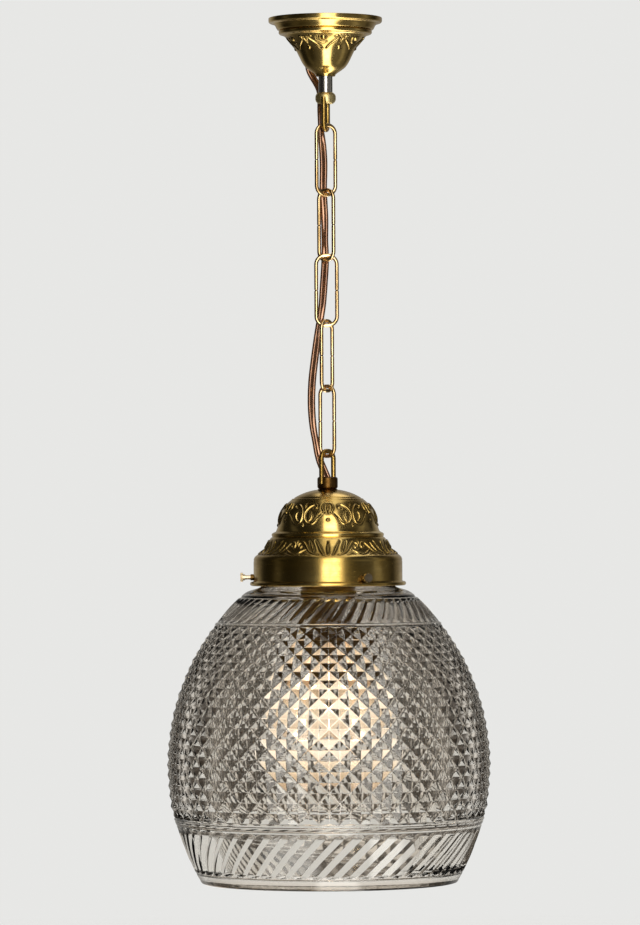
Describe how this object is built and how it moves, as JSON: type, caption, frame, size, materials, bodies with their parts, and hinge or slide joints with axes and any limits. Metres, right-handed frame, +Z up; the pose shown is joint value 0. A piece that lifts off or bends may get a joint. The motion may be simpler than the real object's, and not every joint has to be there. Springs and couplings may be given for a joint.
{
  "type": "pendant light",
  "caption": "Brass chain pendant light: embossed ceiling canopy, long-link chain with twin flex, domed gallery with thumb screws, cut glass shade and a screw-base bulb.",
  "frame": {"origin": "on the ceiling, midway between the two ceiling screws, in the plane of the bracket's feet and the canopy's rim", "axes": "+Z up into the ceiling, +X along the ceiling bracket, -Y towards the picture's viewer"},
  "size_m": [0.2308, 0.2308, 0.6155],
  "materials": {
    "canopy_brass": "polished antique brass",
    "gallery_brass": "antique brass with dark recesses",
    "chain_brass": "bright drawn brass wire",
    "cast_brass": "satin cast brass",
    "holder_brass": "satin brass",
    "zinc_steel": "zinc plated",
    "bright_steel": "bright nickel",
    "brown_flex": "brown transparent-look flex sheath",
    "black_bush": "black moulded bush",
    "cream_ceramic": "glazed ceramic",
    "cut_glass": "clear pressed glass",
    "lamp_glass": "frosted lamp glass",
    "black_glass": "black vitrite",
    "filament_wire": "glowing wire"
  },
  "bodies": {
    "ceiling_fixing": {"ceiling_bracket": "zinc_steel", "bracket_nuts": "zinc_steel", "bracket_washer": "zinc_steel", "earth_screw": "cast_brass", "terminal_block": "cream_ceramic", "terminal_screws": "cast_brass", "ceiling_nipple": "bright_steel", "upper_boss": "cast_brass", "upper_ring": "cast_brass", "flex_tail": "brown_flex", "flex_top": "brown_flex"},
    "canopy": {"canopy_shell": "canopy_brass", "canopy_bush": "canopy_brass", "canopy_grub_screw": "zinc_steel", "flex_bush": "black_bush"},
    "link_1": {"link_1": "chain_brass", "flex_link_1": "brown_flex"},
    "link_2": {"link_2": "chain_brass", "flex_link_2": "brown_flex"},
    "link_3": {"link_3": "chain_brass", "flex_link_3": "brown_flex"},
    "link_4": {"link_4": "chain_brass", "flex_link_4": "brown_flex"},
    "link_5": {"link_5": "chain_brass", "flex_link_5": "brown_flex"},
    "lamp_head": {"lower_ring": "cast_brass", "lower_boss": "cast_brass", "flex_bottom": "brown_flex", "stem_nipple": "bright_steel", "gallery": "gallery_brass", "gallery_nuts": "zinc_steel", "gallery_washer": "zinc_steel", "screw_bushes": "holder_brass", "holder_cap": "holder_brass", "holder_shell": "holder_brass", "holder_skirt_ring": "holder_brass", "holder_core": "cream_ceramic", "holder_thread": "holder_brass", "holder_contact": "holder_brass", "holder_terminals": "holder_brass", "holder_leads": "brown_flex"},
    "thumb_screw_1": {"thumb_screw_1": "holder_brass"},
    "thumb_screw_2": {"thumb_screw_2": "holder_brass"},
    "thumb_screw_3": {"thumb_screw_3": "holder_brass"},
    "shade": {"glass_shade": "cut_glass"},
    "bulb": {"bulb_glass": "lamp_glass", "bulb_cap": "bright_steel", "bulb_insulator": "black_glass", "bulb_contact": "bright_steel", "bulb_stem": "lamp_glass", "bulb_filament": "filament_wire"}
  },
  "joints": [
    {"name": "canopy_slide", "type": "slide", "parent": "ceiling_fixing", "child": "canopy", "axis": [0, 0, 1], "range_m": [-0.01, 0], "deforming": ["flex_tail", "flex_top"]},
    {"name": "link_1_swing", "type": "hinge", "parent": "ceiling_fixing", "child": "link_1", "pos_m": [0, 0, -0.0796], "axis": [0.2079, 0.9781, 0], "range_deg": [-30, 30], "deforming": ["flex_link_1"]},
    {"name": "link_2_swing", "type": "hinge", "parent": "link_1", "child": "link_2", "pos_m": [0, 0, -0.12585], "axis": [0.8988, 0.4384, 0], "range_deg": [-30, 30], "deforming": ["flex_link_2"]},
    {"name": "link_3_swing", "type": "hinge", "parent": "link_2", "child": "link_3", "pos_m": [0, 0, -0.17245], "axis": [0.6947, -0.7193, 0], "range_deg": [-30, 30], "deforming": ["flex_link_3"]},
    {"name": "link_4_swing", "type": "hinge", "parent": "link_3", "child": "link_4", "pos_m": [0, 0, -0.21905], "axis": [-0.9976, -0.0698, 0], "range_deg": [-30, 30], "deforming": ["flex_link_4"]},
    {"name": "link_5_swing", "type": "hinge", "parent": "link_4", "child": "link_5", "pos_m": [0, 0, -0.26565], "axis": [-0.515, -0.8572, 0], "range_deg": [-30, 30], "deforming": ["flex_link_5"]},
    {"name": "head_swing", "type": "hinge", "parent": "link_5", "child": "lamp_head", "pos_m": [0, 0, -0.31225], "axis": [-0.6691, 0.7431, 0], "range_deg": [-30, 30], "deforming": ["flex_bottom"]},
    {"name": "thumb_screw_1_travel", "type": "slide", "parent": "lamp_head", "child": "thumb_screw_1", "axis": [0.454, -0.891, 0], "range_m": [0, 0.006]},
    {"name": "thumb_screw_2_travel", "type": "slide", "parent": "lamp_head", "child": "thumb_screw_2", "axis": [0.5446, 0.8387, 0], "range_m": [0, 0.006]},
    {"name": "thumb_screw_3_travel", "type": "slide", "parent": "lamp_head", "child": "thumb_screw_3", "axis": [-0.9994, 0.0349, 0], "range_m": [0, 0.006]},
    {"name": "shade_turn", "type": "hinge", "parent": "lamp_head", "child": "shade", "pos_m": [0, 0, -0.4], "axis": [0, 0, 1], "continuous": true},
    {"name": "bulb_turn", "type": "hinge", "parent": "lamp_head", "child": "bulb", "pos_m": [0, 0, -0.44], "axis": [0, 0, 1], "continuous": true}
  ]
}
